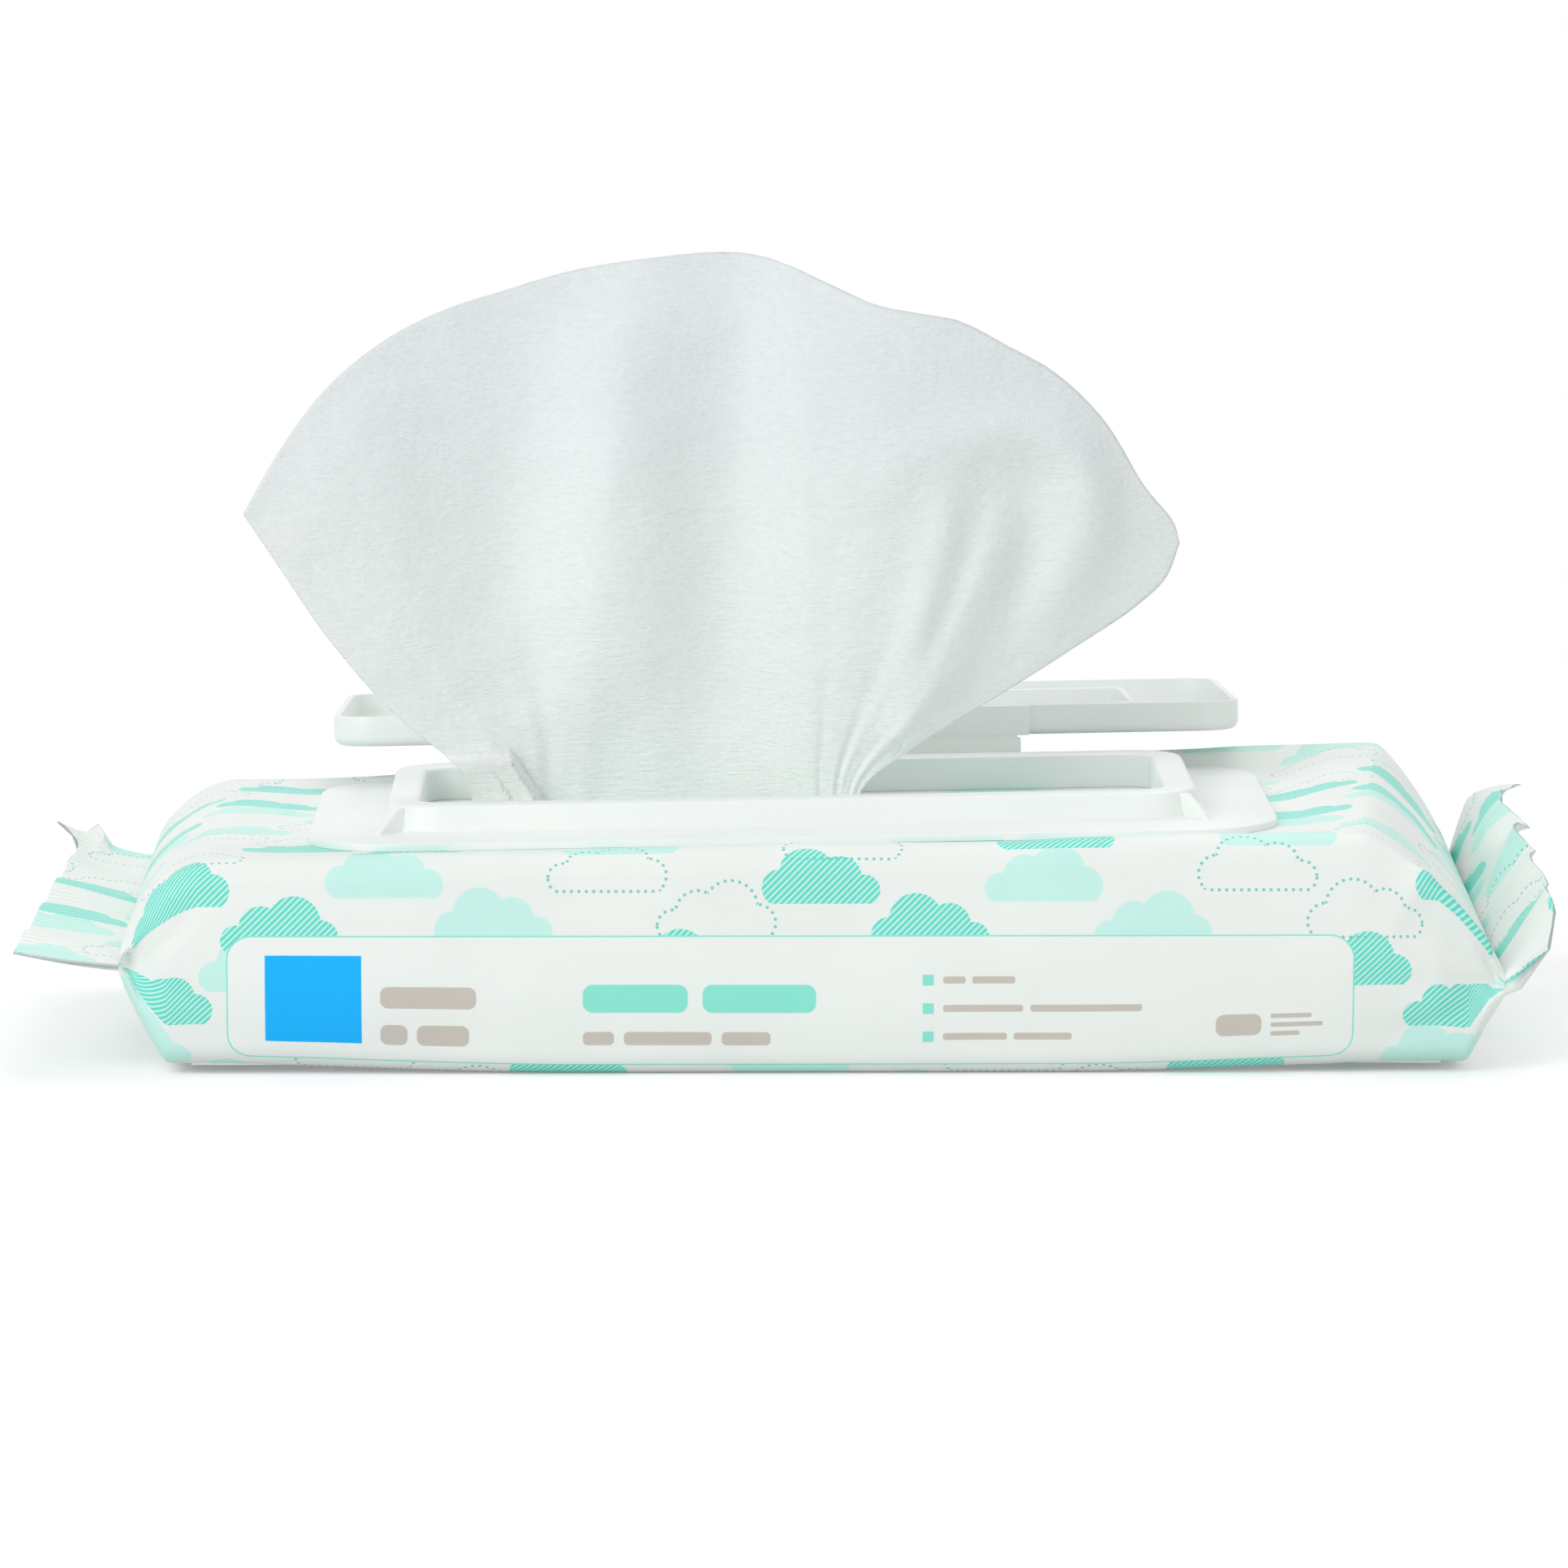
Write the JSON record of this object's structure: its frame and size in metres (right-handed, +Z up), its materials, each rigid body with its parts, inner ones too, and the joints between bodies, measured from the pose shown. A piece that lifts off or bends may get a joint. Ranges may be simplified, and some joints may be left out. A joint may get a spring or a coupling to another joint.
{
  "type": "wet wipes pack",
  "caption": "Soft film pack of wet wipes lying flat, with crimped end seals, a glued-on flip-top dispenser standing open and one wipe pulled up through it in a fan.",
  "frame": {"origin": "middle of the pack's flat underside", "axes": "+X along the length of the pack, +Y from the front face to the back face where the lid opens, +Z up"},
  "size_m": [0.2348, 0.1616, 0.1214],
  "materials": {
    "film": "soft printed film with a low sheen",
    "moulding": "satin white moulded plastic",
    "cloth": "damp non-woven cloth"
  },
  "bodies": {
    "pack": {"film_wrapper": "film", "wipe_stack": "cloth", "pulled_wipe": "cloth", "dispenser_frame": "moulding"},
    "lid": {"lid": "moulding"}
  },
  "joints": [
    {"name": "lid_hinge", "type": "hinge", "parent": "pack", "child": "lid", "pos_m": [-0.00352, 0.03575, 0.0408], "axis": [0.9998, 0, 0.0175], "range_deg": [0, 183.4], "deforming": ["pulled_wipe"]}
  ]
}
